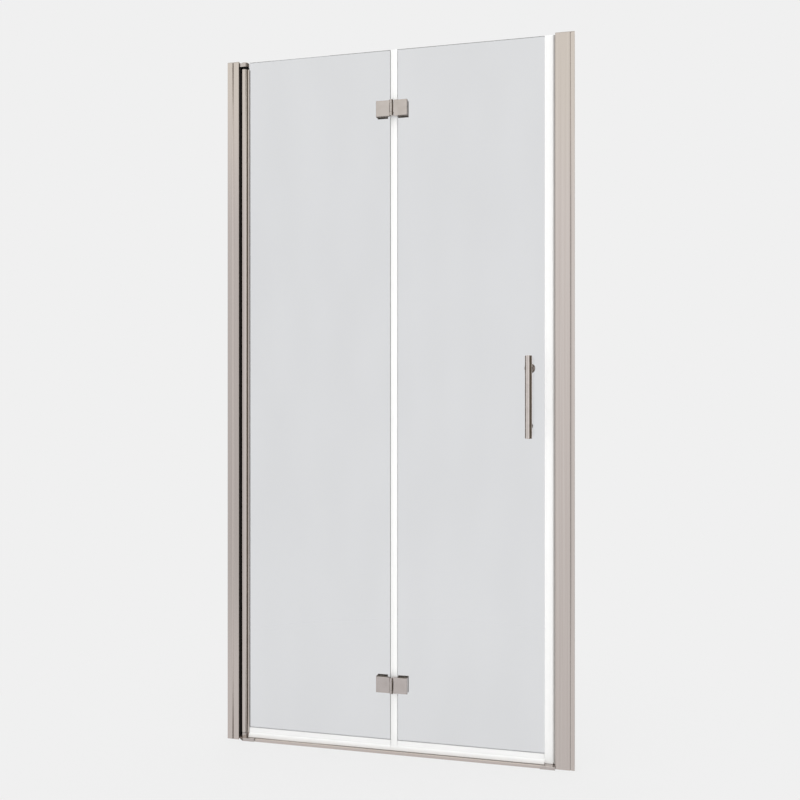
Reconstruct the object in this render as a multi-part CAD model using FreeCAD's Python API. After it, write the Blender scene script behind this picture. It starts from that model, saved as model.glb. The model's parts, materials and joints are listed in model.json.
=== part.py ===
import FreeCAD, Part
import os

# Frameless bi-fold shower door, in millimetres.
# X runs along the door from the pivot side to the closing side, Y from outside to inside, Z up.
# The origin is under the threshold, at mid width, in the middle plane of the glass.

# Opening
door_width = 920.0
door_height = 1829.0

# Panes
glass_thickness = 6.0
glass_top_drop = 0.2
glass_arris = 0.6
pane_gap = 12.0
hinge_shift = 0.8

# Wall channels
channel_reach = 25.2
channel_wall = 1.6
hinge_lip_bevel = 3.4
hinge_bevel_depth = 1.8
strike_lip_bevel = 4.8
strike_bevel_depth = 1.5
lip_jamb_gap = 0.4
channel_lip_drop = 0.5
wall_hole_radius = 2.75
wall_hole_count = 4
wall_hole_margin = 163.5

# Jambs and their caps
jamb_depth = 30.0
jamb_wall = 2.2
jamb_web = 4.0
jamb_corner = 1.0
hinge_jamb_width = 14.9
hinge_jamb_overhang = 3.0
hinge_reveal = 17.7
strike_jamb_width = 36.0
strike_reveal = 11.5
telescope_clearance = 0.25
strip_groove_width = 8.0
strip_groove_depth = 2.4
cap_thickness = 2.0
cap_plug_length = 8.0
cap_plug_depth = 4.0
cap_plug_clearance = 0.2

# Screws that lock the jambs on the channels, and their covers
jamb_screw_radius = 1.6
jamb_screw_length = 8.0
jamb_screw_head_radius = 2.6
jamb_screw_head_height = 1.8
jamb_screw_count = 3
jamb_screw_margin = 150.0
jamb_screw_from_wall = 22.8
screw_cover_wall = 0.6
screw_cover_clearance = 0.2
screw_hole_clearance = 0.05
screw_recess_radius = 1.5
screw_recess_depth = 1.2

# Seal strip between hinge jamb and post
jamb_seal_reach = 6.0
jamb_seal_front = 11.5
jamb_seal_back = 9.0
jamb_seal_clearance = 0.8
jamb_seal_end_gap = 0.5

# Magnet holder on the strike jamb
strike_holder_reach = 4.5
strike_holder_width = 12.0
strike_holder_wall = 1.0
strike_holder_sill_gap = 1.0
magnet_clearance = 0.1

# Pivot post
post_radius = 11.8
post_gap = 4.0
post_bore_radius = 4.5
wing_reach = 12.6
wing_wall = 1.8
slot_depth = 6.6
gasket_wall = 1.2
gasket_base = 1.0
gasket_lip = 0.9
glass_notch_radius = 4.0

# Pivots
pivot_pin_radius = 3.0
pivot_pin_clearance = 0.04
pivot_pin_engagement = 18.0
pivot_pin_cover = 4.0
bush_length = 22.0
bush_flange_radius = 10.6
top_bush_flange = 7.5
bottom_bush_flange = 0.8
thrust_clearance = 0.3
bracket_radius = 10.4
bracket_height = 12.2
bracket_shoulder_inset = 0.4
bracket_jamb_gap = 0.4
bracket_neck_width = 12.0
bracket_plug_length = 14.0
bracket_clearance = 0.25
bracket_edge_radius = 2.0
bracket_screw_length = 14.0

# Bottom foot
foot_base_height = 8.2
foot_collar_height = 10.0
foot_collar_radius = 11.3
foot_plug_height = 16.0
foot_nose = 6.5
foot_back = 12.0
foot_length = 33.5
foot_corner_cut = 16.2
foot_jamb_gap = 0.4
foot_sill_gap = 1.8
foot_edge_radius = 0.8

# Threshold
threshold_height = 8.0
threshold_nose = 4.5
threshold_front_height = 7.8
threshold_ridge_front = 7.0
threshold_ridge_back = 3.0
threshold_back = 12.0
threshold_back_height = 4.5
threshold_nose_radius = 2.2
threshold_wall = 1.5
threshold_jamb_gap = 0.3

# Cap on the threshold's end beside the strike jamb
end_cap_length = 37.0
end_cap_proud = 3.0
end_cap_edge_radius = 1.5
end_cap_plug_length = 12.0
end_cap_plug_clearance = 0.2

# Seals on the panes
seal_wall = 2.0
seal_sill_clearance = 0.35
bottom_seal_grip = 11.9
bottom_fin_drop = 9.15
bottom_fin_flare = 10.0
bottom_fin_thickness = 1.8
closing_gap = 1.2
closing_grip = 8.4
closing_bulb = 10.0
closing_bulb_wall = 1.3
mid_seal_grip = 7.4
mid_seal_gap = 1.2
mid_seal_nose_width = 4.0
seal_end_gap = 0.3

# Glass-to-glass hinges
hinge_height = 41.0
upper_hinge_drop = 155.8
lower_hinge_rise = 177.3
leaf_reach = 41.2
leaf_clamp_inset = 14.0
leaf_thickness = 12.0
leaf_neck_thickness = 6.0
leaf_edge_radius = 0.8
hinge_axis_stand = 0.4
knuckle_radius = 4.8
knuckle_relief = 1.0
knuckle_root = 4.0
knuckle_middle = 22.6
knuckle_gap = 0.3
hinge_pin_radius = 2.0
hinge_pin_clearance = 0.04
pad_thickness = 1.0
pad_inset = 0.8
plate_thickness = 5.0
hinge_screw_radius = 2.5
hinge_screw_spacing = 22.0
hinge_screw_cover = 3.0
hinge_screw_head_radius = 4.2
hinge_screw_head_height = 2.6
hinge_screw_head_rounding = 1.3
hinge_glass_hole_radius = 5.0

# Pull handle
handle_from_edge = 45.4
handle_center_height = 924.0
handle_length = 205.0
handle_overhang = 30.0
handle_radius = 8.8
handle_end_chamfer = 1.2
handle_projection = 48.0
standoff_radius = 5.0
standoff_clearance = 0.05
standoff_sink = 5.0
upper_rosette_radius = 13.0
lower_rosette_radius = 7.6
rosette_thickness = 4.5
rosette_chamfer = 1.0
washer_inset = 1.0
washer_thickness = 1.0
inner_cap_thickness = 6.0
inner_cap_rounding = 2.0
handle_screw_radius = 2.9
handle_screw_grip = 16.0
handle_screw_head_radius = 5.0
handle_screw_head_height = 3.4
handle_glass_hole_radius = 4.5

# Places worked out from the sizes: walls, jambs and channels
hinge_wall_x = -door_width / 2
strike_wall_x = door_width / 2
profile_height = door_height - cap_thickness
jamb_half = jamb_depth / 2
lip_half = jamb_half - channel_lip_drop
channel_half = jamb_half - jamb_wall - telescope_clearance
channel_inner_half = channel_half - channel_wall
hinge_tip_x = hinge_wall_x + hinge_reveal + hinge_jamb_width
hinge_face_x = hinge_tip_x - hinge_jamb_overhang
strike_face_x = strike_wall_x - strike_reveal - strike_jamb_width
groove_half = strip_groove_width / 2

# Post, panes and seals
post_x = hinge_face_x + post_gap + post_radius
holder_face_x = strike_face_x - strike_holder_reach
closing_tip_x = holder_face_x - closing_gap
hinge_x = (post_x + closing_tip_x) / 2 - hinge_shift
pane_half = glass_thickness / 2
pane_top = door_height - glass_top_drop
seal_half = pane_half + seal_wall
seal_bottom = threshold_height + seal_sill_clearance
seal_base = seal_bottom + bottom_fin_drop
glass_bottom = seal_base + seal_wall
mid_seal_bottom = seal_base + seal_end_gap
slot_half = pane_half + gasket_wall
wing_half = slot_half + wing_wall
wing_end_x = post_x + wing_reach
slot_floor_x = wing_end_x - slot_depth
lip_end_x = wing_end_x + gasket_lip
pivot_pane_left = slot_floor_x + gasket_base
pivot_pane_right = hinge_x - pane_gap / 2
folding_pane_left = hinge_x + pane_gap / 2
folding_pane_right = closing_tip_x - closing_bulb - seal_wall
mid_seal_left = pivot_pane_right + mid_seal_gap
mid_seal_right = folding_pane_left + mid_seal_grip
closing_seal_left = folding_pane_right - closing_grip
bulb_left = folding_pane_right + seal_wall

# Pivots, foot and threshold
bracket_bottom = door_height - bracket_height
post_top = bracket_bottom - thrust_clearance - top_bush_flange
collar_top = foot_base_height + foot_collar_height
post_bottom = collar_top + thrust_clearance + bottom_bush_flange
plug_half = channel_inner_half - bracket_clearance
plug_right = hinge_face_x - jamb_web
plug_left = plug_right - bracket_plug_length
foot_front = jamb_half + foot_nose
foot_right = post_x + foot_length
threshold_left = foot_right + foot_sill_gap
threshold_front = jamb_half + threshold_nose
threshold_right = strike_face_x - threshold_jamb_gap - end_cap_length
end_cap_front = threshold_front + end_cap_proud

# Hinges and handle
upper_hinge_z = door_height - upper_hinge_drop
lower_hinge_z = lower_hinge_rise
clamp_face_y = -pane_half - pad_thickness
leaf_front_y = clamp_face_y - leaf_thickness
hinge_y = leaf_front_y - hinge_axis_stand
plate_back_y = pane_half + pad_thickness + plate_thickness
handle_x = folding_pane_right - handle_from_edge
handle_y = -pane_half - handle_projection
handle_arm = handle_length / 2 - handle_overhang
handle_heights = (handle_center_height + handle_arm, handle_center_height - handle_arm)
rosette_radii = (upper_rosette_radius, lower_rosette_radius)
standoff_foot_y = -pane_half - washer_thickness
standoff_tip_y = handle_y + handle_radius - standoff_sink
inner_cap_back_y = pane_half + washer_thickness + inner_cap_thickness
handle_screw_seat_y = inner_cap_back_y - handle_screw_head_height
handle_screw_tip_y = standoff_foot_y - handle_screw_grip

Vec = FreeCAD.Vector
ALONG_X = Vec(1, 0, 0)
ALONG_Y = Vec(0, 1, 0)
ALONG_Z = Vec(0, 0, 1)


# Small geometry helpers
def block(x_pair, y_pair, z_pair):
    """Box between two X, two Y and two Z values, given in any order."""
    low = Vec(min(x_pair), min(y_pair), min(z_pair))
    high = Vec(max(x_pair), max(y_pair), max(z_pair))
    size = high - low
    return Part.makeBox(size.x, size.y, size.z, low)


def rod(start, direction, radius, length):
    """Round bar from a start point along a direction."""
    return Part.makeCylinder(radius, length, start, direction)


def prism(corners, push):
    """Flat outline pushed along a vector."""
    face = Part.Face(Part.makePolygon(corners + corners[:1]))
    return face.extrude(push)


def join(shapes):
    """One solid from touching or crossing shapes."""
    return shapes[0].multiFuse(shapes[1:]).removeSplitter()


def cut_away(shape, tools):
    """Shape with every tool removed."""
    for tool in tools:
        shape = shape.cut(tool)
    return shape


def near(value, target):
    """Whether two lengths agree."""
    return abs(value - target) < 1e-4


def edges_along(shape, direction, wanted):
    """Straight edges along a direction whose middle point satisfies a test."""
    found = []
    for edge in shape.Edges:
        if edge.Curve.TypeId != "Part::GeomLine":
            continue
        run = edge.Vertexes[1].Point - edge.Vertexes[0].Point
        if run.cross(direction).Length < 1e-6 and wanted(edge.CenterOfMass):
            found.append(edge)
    return found


def ring_edges(shape, wanted):
    """Closed round edges whose middle point satisfies a test."""
    return [edge for edge in shape.Edges if edge.isClosed() and wanted(edge.CenterOfMass)]


def spread(count, first, last):
    """Evenly spaced values from first to last."""
    step = (last - first) / (count - 1)
    return [first + index * step for index in range(count)]


# Where the screws sit along the jambs
wall_hole_heights = spread(wall_hole_count, wall_hole_margin, profile_height - wall_hole_margin)
jamb_screw_heights = spread(jamb_screw_count, jamb_screw_margin, profile_height - jamb_screw_margin)
bracket_screw_heights = [foot_plug_height / 2, (bracket_bottom + profile_height) / 2]
hinge_screw_x = hinge_wall_x + jamb_screw_from_wall
strike_screw_x = strike_wall_x - jamb_screw_from_wall


def screw_holes(x, heights):
    """Clearance holes for screws driven through the inside flange."""
    radius = jamb_screw_radius + screw_hole_clearance
    return [rod(Vec(x, 0, z), ALONG_Y, radius, jamb_half) for z in heights]


# Wall channels
def wall_channel(wall_x, inward, reveal, bevel, bevel_depth, screw_tools):
    """U channel with its web and a thick bevelled lip on the wall and its flanges in the jamb."""
    tip_x = wall_x + inward * channel_reach
    web_x = wall_x + inward * channel_wall
    heights = (0, profile_height)
    flanges = block((wall_x, tip_x), (-channel_half, channel_half), heights)
    lip_x = wall_x + inward * (reveal - lip_jamb_gap)
    bevel_x = lip_x - inward * bevel
    thin_half = lip_half - bevel_depth
    outline = [
        Vec(wall_x, -lip_half, 0),
        Vec(bevel_x, -lip_half, 0),
        Vec(lip_x, -thin_half, 0),
        Vec(lip_x, thin_half, 0),
        Vec(bevel_x, lip_half, 0),
        Vec(wall_x, lip_half, 0),
    ]
    lip = prism(outline, ALONG_Z * profile_height)
    hollow = block((web_x, tip_x), (-channel_inner_half, channel_inner_half), heights)
    holes = []
    for z in wall_hole_heights:
        holes.append(rod(Vec(wall_x, 0, z), ALONG_X * inward, wall_hole_radius, channel_wall))
    return cut_away(join([flanges, lip]), [hollow] + holes + screw_tools)


# Jambs
def jamb(tip_x, width, overhang, outward):
    """Jamb open towards the wall; its flanges reach past its grooved web by an overhang."""
    open_x = tip_x + outward * width
    face_x = tip_x + outward * overhang
    heights = (0, profile_height)
    outside = block((tip_x, open_x), (-jamb_half, jamb_half), heights)
    rounded = edges_along(outside, ALONG_Z, lambda p: near(p.x, tip_x))
    outside = outside.makeFillet(jamb_corner, rounded)
    inner_half = jamb_half - jamb_wall
    hollow = block((face_x + outward * jamb_web, open_x), (-inner_half, inner_half), heights)
    groove_floor = face_x + outward * strip_groove_depth
    groove = block((tip_x, groove_floor), (-groove_half, groove_half), heights)
    tools = [hollow, groove]
    if overhang > 0:
        tools.append(block((tip_x, face_x), (-inner_half, inner_half), heights))
    return cut_away(outside, tools)


def hinge_jamb():
    """Jamb beside the post, notched for the necks of the pivot bracket and the foot."""
    notch_half = bracket_neck_width / 2 + bracket_clearance
    notch_x = (plug_right, hinge_face_x)
    notch_y = (-notch_half, notch_half)
    top_notch = block(notch_x, notch_y, (bracket_bottom - bracket_clearance, profile_height))
    bottom_notch = block(notch_x, notch_y, (0, foot_base_height + bracket_clearance))
    tools = [top_notch, bottom_notch]
    tools += screw_holes(hinge_screw_x, jamb_screw_heights)
    tools += screw_holes(hinge_screw_x, bracket_screw_heights)
    return cut_away(jamb(hinge_tip_x, hinge_jamb_width, hinge_jamb_overhang, -1), tools)


def strike_jamb():
    """Wide jamb on the closing side."""
    tools = screw_holes(strike_screw_x, jamb_screw_heights)
    return cut_away(jamb(strike_face_x, strike_jamb_width, 0, 1), tools)


def jamb_cap(wall_x, tip_x, reveal, inward):
    """Flat cap over a channel and its jamb, with a plug between the channel's flanges."""
    step_x = wall_x + inward * reveal
    heights = (profile_height, door_height)
    over_jamb = block((step_x, tip_x), (-jamb_half, jamb_half), heights)
    rounded = edges_along(over_jamb, ALONG_Z, lambda p: near(p.x, tip_x))
    over_jamb = over_jamb.makeFillet(jamb_corner, rounded)
    over_channel = block((wall_x, step_x), (-lip_half, lip_half), heights)
    plug_start = wall_x + inward * (channel_wall + cap_plug_clearance)
    plug_end = plug_start + inward * cap_plug_length
    plug_side = channel_inner_half - cap_plug_clearance
    plug_z = (profile_height - cap_plug_depth, profile_height)
    plug = block((plug_start, plug_end), (-plug_side, plug_side), plug_z)
    return join([over_jamb, over_channel, plug])


def hinge_jamb_seal():
    """Strip in the jamb's groove, hollowed to follow the post."""
    low = foot_base_height + jamb_seal_end_gap
    high = bracket_bottom - jamb_seal_end_gap
    tongue_x = (hinge_face_x - strip_groove_depth, hinge_face_x)
    tongue = block(tongue_x, (-groove_half, groove_half), (low, high))
    lip_x = (hinge_face_x, hinge_face_x + jamb_seal_reach)
    lip = block(lip_x, (-jamb_seal_front, jamb_seal_back), (low, high))
    sweep = rod(Vec(post_x, 0, low), ALONG_Z, post_radius + jamb_seal_clearance, high - low)
    return join([tongue, lip]).cut(sweep)


# Magnet holder on the strike jamb
holder_z = (threshold_height + strike_holder_sill_gap, profile_height)
holder_half = strike_holder_width / 2
magnet_room_x = (holder_face_x + strike_holder_wall, strike_face_x - strike_holder_wall)
magnet_room_half = holder_half - strike_holder_wall


def strike_magnet_holder():
    """Plastic profile with a tongue in the jamb's groove and a room for the magnet."""
    profile = block((holder_face_x, strike_face_x), (-holder_half, holder_half), holder_z)
    tongue_x = (strike_face_x, strike_face_x + strip_groove_depth)
    tongue = block(tongue_x, (-groove_half, groove_half), holder_z)
    room = block(magnet_room_x, (-magnet_room_half, magnet_room_half), holder_z)
    return join([profile, tongue]).cut(room)


def magnet_strip(room_x, room_half, heights):
    """Magnetic strip that fills a room in a profile, less a clearance."""
    gap = magnet_clearance
    half = room_half - gap
    return block((room_x[0] + gap, room_x[1] - gap), (-half, half), heights)


# Screws and covers on the inside of the jambs
def flange_screw(x, z, length):
    """Pan-head screw driven in through the inside flange."""
    seat = Vec(x, jamb_half, z)
    shank = rod(seat, -ALONG_Y, jamb_screw_radius, length)
    head = rod(seat, ALONG_Y, jamb_screw_head_radius, jamb_screw_head_height)
    head_top = Vec(x, jamb_half + jamb_screw_head_height, z)
    recess = rod(head_top, -ALONG_Y, screw_recess_radius, screw_recess_depth)
    return join([shank, head]).cut(recess)


def screw_cover(x, z):
    """Round snap cover over a screw head."""
    seat = Vec(x, jamb_half, z)
    room_radius = jamb_screw_head_radius + screw_cover_clearance
    room_height = jamb_screw_head_height + screw_cover_clearance
    height = room_height + screw_cover_wall
    outside = rod(seat, ALONG_Y, room_radius + screw_cover_wall, height)
    rim = ring_edges(outside, lambda p: near(p.y, jamb_half + height))
    outside = outside.makeChamfer(screw_cover_wall / 2, rim)
    return outside.cut(rod(seat, ALONG_Y, room_radius, room_height))


# Top bracket, bottom foot and pivot pins
def bracket_plug(low, high):
    """Block that fits inside the hinge jamb."""
    return block((plug_left, plug_right), (-plug_half, plug_half), (low, high))


def bracket_neck(right, low, high):
    """Bar from the plug out through the jamb's notch."""
    half = bracket_neck_width / 2
    return block((plug_right, right), (-half, half), (low, high))


def bracket_screw_hole(z):
    """Hole for a bracket screw, from the inside flange into the plug."""
    start = Vec(hinge_screw_x, jamb_half, z)
    return rod(start, -ALONG_Y, jamb_screw_radius, bracket_screw_length)


def pin_bar(low, high):
    """Bar of the pin's size on the post's axis."""
    return rod(Vec(post_x, 0, low), ALONG_Z, pivot_pin_radius, high - low)


def top_pivot_bracket():
    """Bracket over the post with a round end, held by a neck and a plug in the jamb."""
    disc = rod(Vec(post_x, 0, bracket_bottom), ALONG_Z, bracket_radius, bracket_height)
    rim = ring_edges(disc, lambda p: near(p.z, door_height))
    disc = disc.makeFillet(bracket_edge_radius, rim)
    shoulder_half = bracket_radius - bracket_shoulder_inset
    shoulder_z = (bracket_bottom, profile_height - bracket_shoulder_inset)
    shoulder_x = (hinge_face_x + bracket_jamb_gap, post_x)
    shoulder = block(shoulder_x, (-shoulder_half, shoulder_half), shoulder_z)
    neck = bracket_neck(post_x, bracket_bottom, profile_height)
    body = join([disc, shoulder, neck, bracket_plug(bracket_bottom, profile_height)])
    pin_room = pin_bar(bracket_bottom, door_height - pivot_pin_cover)
    return cut_away(body, [pin_room, bracket_screw_hole(bracket_screw_heights[1])])


def bottom_pivot_foot():
    """Foot on the floor: plug in the jamb, collar under the post, nose beside the threshold."""
    left = hinge_face_x + foot_jamb_gap
    base = block((left, foot_right), (-foot_front, foot_back), (0, foot_base_height))
    corner = edges_along(base, ALONG_Z, lambda p: near(p.x, left) and near(p.y, -foot_front))
    base = base.makeChamfer(foot_corner_cut, corner)
    front_top = edges_along(base, ALONG_X, lambda p: near(p.y, -foot_front) and near(p.z, foot_base_height))
    base = base.makeFillet(foot_edge_radius, front_top)
    collar = rod(Vec(post_x, 0, 0), ALONG_Z, foot_collar_radius, collar_top)
    neck = bracket_neck(left, 0, foot_base_height)
    body = join([base, collar, neck, bracket_plug(0, foot_plug_height)])
    pin_room = pin_bar(pivot_pin_cover, collar_top)
    return cut_away(body, [pin_room, bracket_screw_hole(bracket_screw_heights[0])])


# Threshold and its end cap
def sill_outline(x, front):
    """Outside of the threshold's section at one X, from a front face to the inside edge."""
    return [
        Vec(x, -front, 0),
        Vec(x, -front, threshold_front_height),
        Vec(x, -threshold_ridge_front, threshold_height),
        Vec(x, threshold_ridge_back, threshold_height),
        Vec(x, threshold_back, threshold_back_height),
        Vec(x, threshold_back, 0),
    ]


def chamber_outline(x, wall):
    """Hollow of the threshold's section at one X, inside a wall of one thickness."""
    front = wall - jamb_half
    back = threshold_back - wall
    ceiling = threshold_front_height - wall
    return [
        Vec(x, front, wall),
        Vec(x, front, ceiling),
        Vec(x, threshold_ridge_back, ceiling),
        Vec(x, back, threshold_back_height - wall),
        Vec(x, back, wall),
    ]


def rounded_sill(left, right, front, radius):
    """Solid length of the sill with its upper front edge rounded."""
    body = prism(sill_outline(left, front), ALONG_X * (right - left))
    nose = edges_along(body, ALONG_X, lambda p: near(p.y, -front) and p.z > 0)
    return body.makeFillet(radius, nose)


def threshold():
    """Hollow sill from the foot to its end cap, with a rounded solid nose."""
    body = rounded_sill(threshold_left, threshold_right, threshold_front, threshold_nose_radius)
    push = ALONG_X * (threshold_right - threshold_left)
    return body.cut(prism(chamber_outline(threshold_left, threshold_wall), push))


def threshold_end_cap():
    """Cap between the threshold and the strike jamb, proud at the front, plugged into the hollow."""
    cap_right = threshold_right + end_cap_length
    body = rounded_sill(threshold_right, cap_right, end_cap_front, end_cap_edge_radius)
    plug_wall = threshold_wall + end_cap_plug_clearance
    plug = prism(chamber_outline(threshold_right, plug_wall), -ALONG_X * end_cap_plug_length)
    return join([body, plug])


# Pivot post with its bushes and gasket
def pivot_post():
    """Round hollow post with a slotted wing that holds the glass."""
    length = post_top - post_bottom
    heights = (post_bottom, post_top)
    base = Vec(post_x, 0, post_bottom)
    tube = rod(base, ALONG_Z, post_radius, length)
    wing = block((post_x, wing_end_x), (-wing_half, wing_half), heights)
    slot = block((slot_floor_x, wing_end_x), (-slot_half, slot_half), heights)
    bore = rod(base, ALONG_Z, post_bore_radius, length)
    return cut_away(join([tube, wing]), [slot, bore])


def pivot_bush(mouth_z, inward, flange):
    """Flanged bush in one end of the post; inward points along the post."""
    mouth = Vec(post_x, 0, mouth_z)
    sleeve = rod(mouth, ALONG_Z * inward, post_bore_radius, bush_length)
    collar = rod(mouth, ALONG_Z * -inward, bush_flange_radius, flange)
    bore_start = Vec(post_x, 0, mouth_z - inward * flange)
    bore_radius = pivot_pin_radius + pivot_pin_clearance
    bore = rod(bore_start, ALONG_Z * inward, bore_radius, bush_length + flange)
    return join([sleeve, collar]).cut(bore)


def post_glazing_gasket():
    """U gasket between the post's slot and the pane."""
    heights = (glass_bottom, post_top)
    outside = block((slot_floor_x, lip_end_x), (-slot_half, slot_half), heights)
    return outside.cut(block((pivot_pane_left, lip_end_x), (-pane_half, pane_half), heights))


# Panes
def pane(left, right, holes):
    """Glass pane with polished edges and drilled holes."""
    body = block((left, right), (-pane_half, pane_half), (glass_bottom, pane_top))
    sharp = [edge for edge in body.Edges if near(abs(edge.CenterOfMass.y), pane_half)]
    return cut_away(body.makeChamfer(glass_arris, sharp), holes)


def glass_hole(x, z, radius):
    """Round hole right through a pane."""
    return rod(Vec(x, -pane_half, z), ALONG_Y, radius, glass_thickness)


def hinge_screw_spots(side, hinge_heights):
    """X and Z of the clamp screws on one side of the hinge axis."""
    x = hinge_x + side * (leaf_clamp_inset + leaf_reach) / 2
    half = hinge_screw_spacing / 2
    return [(x, z + step) for z in hinge_heights for step in (-half, half)]


both_hinges = (upper_hinge_z, lower_hinge_z)


def pivot_glass():
    """First pane, with its top corner cut back to clear the pivot bracket."""
    spots = hinge_screw_spots(-1, both_hinges)
    holes = [glass_hole(x, z, hinge_glass_hole_radius) for x, z in spots]
    notch = block((pivot_pane_left, lip_end_x), (-pane_half, pane_half), (post_top, pane_top))
    inner = edges_along(notch, ALONG_Y, lambda p: near(p.x, lip_end_x) and near(p.z, post_top))
    holes.append(notch.makeFillet(glass_notch_radius, inner))
    return pane(pivot_pane_left, pivot_pane_right, holes)


def folding_glass():
    """Second pane, with holes for the hinges and the handle."""
    spots = hinge_screw_spots(1, both_hinges)
    holes = [glass_hole(x, z, hinge_glass_hole_radius) for x, z in spots]
    holes += [glass_hole(handle_x, z, handle_glass_hole_radius) for z in handle_heights]
    return pane(folding_pane_left, folding_pane_right, holes)


# Seals on the panes
def bottom_seal(left, right, fin_left):
    """U strip under a pane with a fin that flares out over the threshold and may start further left."""
    grip_z = (seal_base, glass_bottom + bottom_seal_grip)
    grip = block((left, right), (-seal_half, seal_half), grip_z)
    room_z = (glass_bottom, glass_bottom + bottom_seal_grip)
    grip = grip.cut(block((left, right), (-pane_half, pane_half), room_z))
    tip_y = -seal_half - bottom_fin_flare
    fin = [
        Vec(fin_left, -seal_half, seal_base),
        Vec(fin_left, tip_y, seal_bottom),
        Vec(fin_left, tip_y + bottom_fin_thickness, seal_bottom),
        Vec(fin_left, -seal_half + bottom_fin_thickness, seal_base),
    ]
    return join([grip, prism(fin, ALONG_X * (right - fin_left))])


def edge_seal_grip(edge_x, grip, inward, heights):
    """U part of a vertical seal around a pane's edge."""
    x_pair = (edge_x - inward * seal_wall, edge_x + inward * grip)
    outside = block(x_pair, (-seal_half, seal_half), heights)
    room = block((edge_x, edge_x + inward * grip), (-pane_half, pane_half), heights)
    return outside.cut(room)


def mid_seal():
    """Seal on the second pane with a nose that reaches across the gap to the first."""
    grip = edge_seal_grip(folding_pane_left, mid_seal_grip, 1, (mid_seal_bottom, pane_top))
    root_x = folding_pane_left - seal_wall
    nose_half = mid_seal_nose_width / 2
    nose = [
        Vec(root_x, -seal_half, mid_seal_bottom),
        Vec(root_x, seal_half, mid_seal_bottom),
        Vec(mid_seal_left, nose_half, mid_seal_bottom),
        Vec(mid_seal_left, -nose_half, mid_seal_bottom),
    ]
    return join([grip, prism(nose, ALONG_Z * (pane_top - mid_seal_bottom))])


bulb_room_x = (bulb_left, closing_tip_x - closing_bulb_wall)
bulb_room_half = seal_half - closing_bulb_wall


def closing_seal():
    """Seal on the closing edge with a hollow bulb for its magnet."""
    heights = (seal_bottom, pane_top)
    grip = edge_seal_grip(folding_pane_right, closing_grip, -1, heights)
    bulb = block((bulb_left, closing_tip_x), (-seal_half, seal_half), heights)
    tips = edges_along(bulb, ALONG_Z, lambda p: near(p.x, closing_tip_x))
    bulb = bulb.makeFillet(closing_bulb_wall, tips)
    room = block(bulb_room_x, (-bulb_room_half, bulb_room_half), heights)
    return join([grip, bulb.cut(room)])


# Glass-to-glass hinges; side is -1 on the first pane and 1 on the second
def clamp_x_pair(side):
    """X span of the parts that clamp the glass, inner edge first."""
    return (hinge_x + side * leaf_clamp_inset, hinge_x + side * leaf_reach)


def hinge_z_pair(z_mid):
    """Z span of one hinge."""
    return (z_mid - hinge_height / 2, z_mid + hinge_height / 2)


def knuckle_zones(z_mid, middle):
    """Z spans of the middle knuckle or of the two outer ones, with running gaps between them."""
    low, high = hinge_z_pair(z_mid)
    inner = knuckle_middle / 2
    if middle:
        return [(z_mid - inner, z_mid + inner)]
    outer = inner + knuckle_gap
    return [(low, z_mid - outer), (z_mid + outer, high)]


def on_hinge_axis(zone, radius):
    """Round bar on the hinge axis over one Z span."""
    return rod(Vec(hinge_x, hinge_y, zone[0]), ALONG_Z, radius, zone[1] - zone[0])


def clamp_screw_bars(side, z_mid, y_pair):
    """Bars of the clamp screws' size through one leaf."""
    bars = []
    for x, z in hinge_screw_spots(side, [z_mid]):
        bars.append(rod(Vec(x, y_pair[0], z), ALONG_Y, hinge_screw_radius, y_pair[1] - y_pair[0]))
    return bars


def hinge_leaf(side, z_mid, middle, pin_room):
    """Front leaf with a clamp block, a thin neck and its own knuckles."""
    heights = hinge_z_pair(z_mid)
    inner_x, outer_x = clamp_x_pair(side)
    clamp = block((inner_x, outer_x), (leaf_front_y, clamp_face_y), heights)
    rim = [edge for edge in clamp.Edges if near(edge.CenterOfMass.y, leaf_front_y)]
    rim = [edge for edge in rim if not near(edge.CenterOfMass.x, inner_x)]
    clamp = clamp.makeFillet(leaf_edge_radius, rim)
    neck_x = hinge_x + side * (knuckle_radius + knuckle_relief)
    neck_y = (leaf_front_y, leaf_front_y + leaf_neck_thickness)
    pieces_of_leaf = [clamp, block((neck_x, inner_x), neck_y, heights)]
    for zone in knuckle_zones(z_mid, middle):
        root_y = (leaf_front_y, leaf_front_y + knuckle_root)
        pieces_of_leaf.append(block((hinge_x, neck_x), root_y, zone))
        pieces_of_leaf.append(on_hinge_axis(zone, knuckle_radius))
    pin = on_hinge_axis(heights, hinge_pin_radius + pin_room)
    screw_y = (leaf_front_y + hinge_screw_cover, clamp_face_y)
    return cut_away(join(pieces_of_leaf), [pin] + clamp_screw_bars(side, z_mid, screw_y))


def hinge_plate(side, z_mid):
    """Clamp plate on the inside of the glass."""
    y_pair = (pane_half + pad_thickness, plate_back_y)
    plate = block(clamp_x_pair(side), y_pair, hinge_z_pair(z_mid))
    rim = [edge for edge in plate.Edges if near(edge.CenterOfMass.y, plate_back_y)]
    plate = plate.makeFillet(leaf_edge_radius, rim)
    return cut_away(plate, clamp_screw_bars(side, z_mid, y_pair))


def hinge_pads(side, z_mid):
    """Rubber pads on both faces of the glass."""
    inner_x, outer_x = clamp_x_pair(side)
    x_pair = (inner_x + side * pad_inset, outer_x - side * pad_inset)
    low, high = hinge_z_pair(z_mid)
    heights = (low + pad_inset, high - pad_inset)
    bars = clamp_screw_bars(side, z_mid, (clamp_face_y, -clamp_face_y))
    front = cut_away(block(x_pair, (clamp_face_y, -pane_half), heights), bars)
    back = cut_away(block(x_pair, (pane_half, -clamp_face_y), heights), bars)
    return Part.makeCompound([front, back])


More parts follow.
